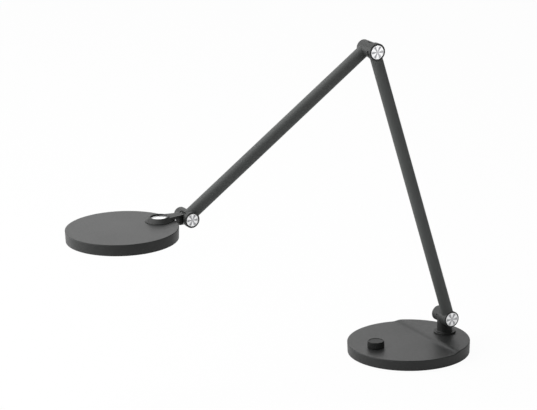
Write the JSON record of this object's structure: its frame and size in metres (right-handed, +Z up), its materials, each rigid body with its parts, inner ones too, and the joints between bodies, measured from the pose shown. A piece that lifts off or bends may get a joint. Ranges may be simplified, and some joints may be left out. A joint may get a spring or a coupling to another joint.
{
  "type": "desk lamp",
  "caption": "Folding LED desk lamp: weighted round base with dimmer knob, swivelling post, tubular arms on friction hinges and a flat round head that tilts and swivels.",
  "frame": {"origin": "centre of the underside of the base, on the desk", "axes": "+Z up; the arms lie in planes parallel to XZ at rest, the head reaches towards -X, the post stands at +X and the bright hinge caps face -Y"},
  "size_m": [0.6949, 0.1998, 0.5284],
  "materials": {
    "dark_shell": "satin",
    "knob_plastic": "satin",
    "dark_casting": "satin",
    "bright_cap": "polished",
    "dark_trim": "matte",
    "steel_hardware": "satin",
    "zinc_plate": "satin",
    "ballast": "matte",
    "pad_rubber": "matte",
    "circuit_board": "satin",
    "white_board": "satin",
    "led_chip": "gloss",
    "opal": "satin",
    "black_moulding": "matte",
    "bearing_plastic": "satin",
    "lead_sleeve": "matte"
  },
  "bodies": {
    "base": {"base_cover": "dark_shell", "base_pad": "pad_rubber", "base_plate": "zinc_plate", "base_weight": "ballast", "base_screws": "steel_hardware", "driver_board": "circuit_board", "dc_socket": "black_moulding", "encoder_body": "black_moulding", "swivel_bush": "bearing_plastic"},
    "encoder": {"encoder_rotor": "black_moulding"},
    "knob": {"knob_cap": "knob_plastic", "knob_shaft": "steel_hardware"},
    "post": {"swivel_washer": "steel_hardware", "swivel_nut": "steel_hardware", "swivel_tube": "steel_hardware", "post_housing": "dark_casting", "post_set_screw": "steel_hardware", "post_back_cap": "dark_trim", "post_bolt": "steel_hardware", "post_cone_washer": "steel_hardware", "post_nut": "steel_hardware", "post_friction_disc": "bearing_plastic"},
    "lower_arm": {"lower_knuckle": "dark_casting", "post_cap": "bright_cap", "lower_tube": "dark_casting", "lower_wire": "lead_sleeve", "elbow_front_knuckle": "dark_casting", "elbow_cap": "bright_cap"},
    "upper_arm": {"elbow_back_knuckle": "dark_casting", "elbow_back_cap": "dark_trim", "elbow_bolt": "steel_hardware", "elbow_cone_washer": "steel_hardware", "elbow_nut": "steel_hardware", "elbow_friction_disc": "bearing_plastic", "upper_tube": "dark_casting", "upper_wire": "lead_sleeve", "head_fork": "dark_casting", "head_hinge_cap": "bright_cap", "head_hinge_back_cap": "dark_trim", "head_hinge_bolt": "steel_hardware", "head_hinge_nut": "steel_hardware", "head_hinge_front_washer": "bearing_plastic", "head_hinge_back_washer": "bearing_plastic"},
    "neck": {"neck": "dark_casting", "neck_cap": "bright_cap", "head_swivel_pin": "steel_hardware", "head_swivel_washer": "bearing_plastic", "head_swivel_nut": "steel_hardware"},
    "head": {"head_housing": "dark_casting", "light_board": "white_board", "light_chips": "led_chip", "diffuser": "opal", "diffuser_ring": "dark_trim"}
  },
  "joints": [
    {"name": "base_swivel", "type": "hinge", "parent": "base", "child": "post", "pos_m": [0.0695, 0, 0.02115], "axis": [0, 0, 1], "range_deg": [-165, 165]},
    {"name": "lower_tilt", "type": "hinge", "parent": "post", "child": "lower_arm", "pos_m": [0.0695, 0, 0.0488], "axis": [0, 1, 0], "range_deg": [-15, 45]},
    {"name": "elbow_tilt", "type": "hinge", "parent": "lower_arm", "child": "upper_arm", "pos_m": [-0.07258, 0, 0.5144], "axis": [0, 1, 0], "range_deg": [-25, 100]},
    {"name": "head_tilt", "type": "hinge", "parent": "upper_arm", "child": "neck", "pos_m": [-0.39548, 0.012, 0.2868], "axis": [0, -1, 0], "range_deg": [-30, 60]},
    {"name": "head_swivel", "type": "hinge", "parent": "neck", "child": "head", "pos_m": [-0.44402, 0.012, 0.28903], "axis": [-0.0159, 0, 0.9999], "range_deg": [-35, 35]},
    {"name": "knob_turn", "type": "hinge", "parent": "base", "child": "encoder", "pos_m": [-0.062, 0, 0.0185], "axis": [0, 0, 1], "continuous": true},
    {"name": "knob_push", "type": "slide", "parent": "encoder", "child": "knob", "axis": [0, 0, -1], "range_m": [0, 0.0005], "stiffness_N_per_m": 2000, "springref_m": -0.0005}
  ]
}
